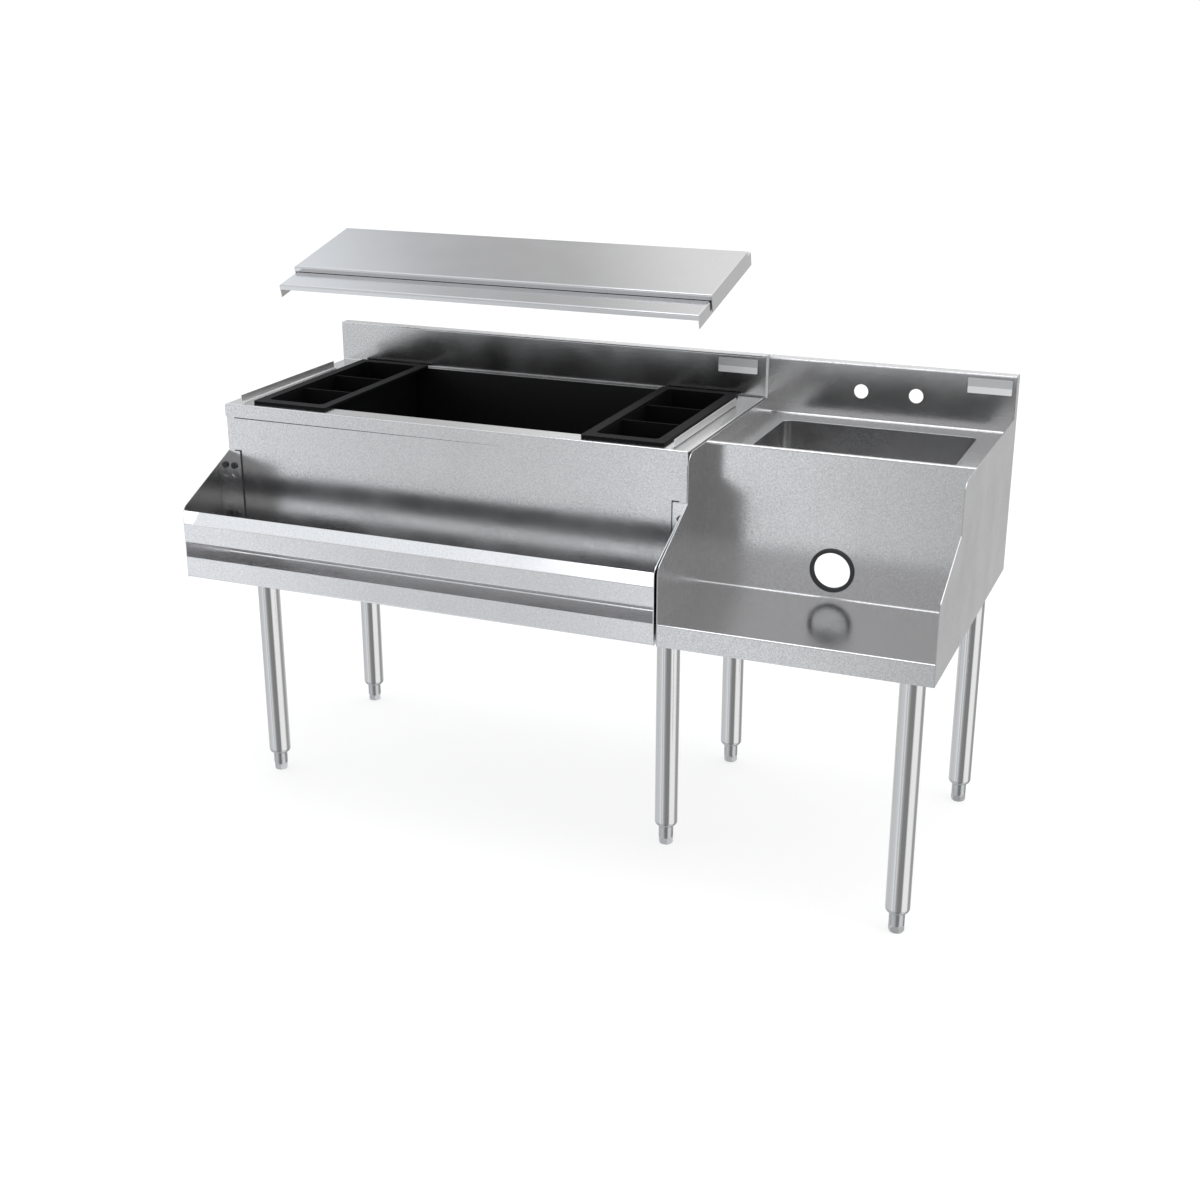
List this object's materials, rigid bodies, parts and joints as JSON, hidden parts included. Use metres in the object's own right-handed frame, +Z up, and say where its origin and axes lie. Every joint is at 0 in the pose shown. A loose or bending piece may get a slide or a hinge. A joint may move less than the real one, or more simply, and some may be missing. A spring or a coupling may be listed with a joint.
{
  "type": "underbar ice bin and sink station",
  "caption": "Stainless underbar station: insulated ice bin with sliding cover, inserts and speed rail, joined to a small sink with a drop-in bowl and front shelf, on tube legs.",
  "frame": {"origin": "on the floor under the middle of the unit's footprint", "axes": "+X to the sink's end, +Y to the backsplash, +Z up; the front faces -Y"},
  "size_m": [1.3716, 0.6096, 1.0098],
  "materials": {
    "satin_steel": "satin, fine grained stainless sheet",
    "bright_steel": "bright satin stainless",
    "galvanised_steel": "matte galvanised",
    "plated_steel": "satin plated",
    "black_plastic": "satin moulded",
    "dark_plastic": "satin moulded",
    "black_rubber": "satin",
    "foam": "matte foam"
  },
  "bodies": {
    "station": {"bin_deck": "satin_steel", "bin_splash": "satin_steel", "bin_front": "satin_steel", "bin_side_left": "satin_steel", "bin_side_right": "satin_steel", "bin_back": "galvanised_steel", "bin_pan": "galvanised_steel", "bin_liner": "black_plastic", "bin_insulation": "foam", "bin_drain": "plated_steel", "bin_drain_nut": "plated_steel", "cover_guide_left": "bright_steel", "cover_guide_right": "bright_steel", "rail_studs": "plated_steel", "sink_deck": "satin_steel", "sink_splash": "satin_steel", "sink_front": "satin_steel", "sink_side_left": "satin_steel", "sink_side_right": "satin_steel", "sink_shelf": "satin_steel", "sink_brace": "galvanised_steel", "sink_bowl": "satin_steel", "sink_drain": "plated_steel", "sink_drain_nut": "plated_steel", "cord_grommet": "black_rubber", "leg_channel_left": "galvanised_steel", "leg_channel_middle": "galvanised_steel", "leg_channel_right": "galvanised_steel", "leg_sockets": "galvanised_steel", "leg_front_left": "bright_steel", "leg_back_left": "bright_steel", "leg_front_middle": "bright_steel", "leg_back_middle": "bright_steel", "leg_front_right": "bright_steel", "leg_back_right": "bright_steel", "leg_plugs": "plated_steel", "joining_bolts": "plated_steel"},
    "cover_back": {"cover_back_panel": "bright_steel"},
    "cover_front": {"cover_front_panel": "bright_steel"},
    "insert_l": {"insert_left": "dark_plastic"},
    "insert_r": {"insert_right": "dark_plastic"},
    "speed_rail": {"rail_bar": "bright_steel", "rail_tray": "satin_steel", "rail_end_left": "satin_steel", "rail_end_right": "satin_steel"},
    "strainer": {"sink_strainer": "bright_steel"},
    "foot_front_left": {"foot_front_left": "plated_steel"},
    "foot_back_left": {"foot_back_left": "plated_steel"},
    "foot_front_middle": {"foot_front_middle": "plated_steel"},
    "foot_back_middle": {"foot_back_middle": "plated_steel"},
    "foot_front_right": {"foot_front_right": "plated_steel"},
    "foot_back_right": {"foot_back_right": "plated_steel"}
  },
  "joints": [
    {"name": "cover_lift", "type": "hinge", "parent": "station", "child": "cover_back", "pos_m": [-0.231, -0.7449, 1], "axis": [1, 0, 0], "range_deg": [-13.6, 0]},
    {"name": "cover_slide", "type": "slide", "parent": "cover_back", "child": "cover_front", "axis": [0, 0.972, 0.2351], "range_m": [-0.1676, 0.0254]},
    {"name": "insert_left_slide", "type": "slide", "parent": "station", "child": "insert_l", "axis": [1, 0, 0], "range_m": [0, 0.24]},
    {"name": "insert_right_slide", "type": "slide", "parent": "station", "child": "insert_r", "axis": [1, 0, 0], "range_m": [-0.24, 0]},
    {"name": "rail_lift", "type": "slide", "parent": "station", "child": "speed_rail", "axis": [0, 0, 1], "range_m": [0, 0.016]},
    {"name": "strainer_lift", "type": "slide", "parent": "station", "child": "strainer", "axis": [0, 0, 1], "range_m": [0, 0.06]},
    {"name": "foot_front_left_screw", "type": "slide", "parent": "station", "child": "foot_front_left", "axis": [0, 0, -1], "range_m": [0, 0.025]},
    {"name": "foot_back_left_screw", "type": "slide", "parent": "station", "child": "foot_back_left", "axis": [0, 0, -1], "range_m": [0, 0.025]},
    {"name": "foot_front_middle_screw", "type": "slide", "parent": "station", "child": "foot_front_middle", "axis": [0, 0, -1], "range_m": [0, 0.025]},
    {"name": "foot_back_middle_screw", "type": "slide", "parent": "station", "child": "foot_back_middle", "axis": [0, 0, -1], "range_m": [0, 0.025]},
    {"name": "foot_front_right_screw", "type": "slide", "parent": "station", "child": "foot_front_right", "axis": [0, 0, -1], "range_m": [0, 0.025]},
    {"name": "foot_back_right_screw", "type": "slide", "parent": "station", "child": "foot_back_right", "axis": [0, 0, -1], "range_m": [0, 0.025]}
  ]
}
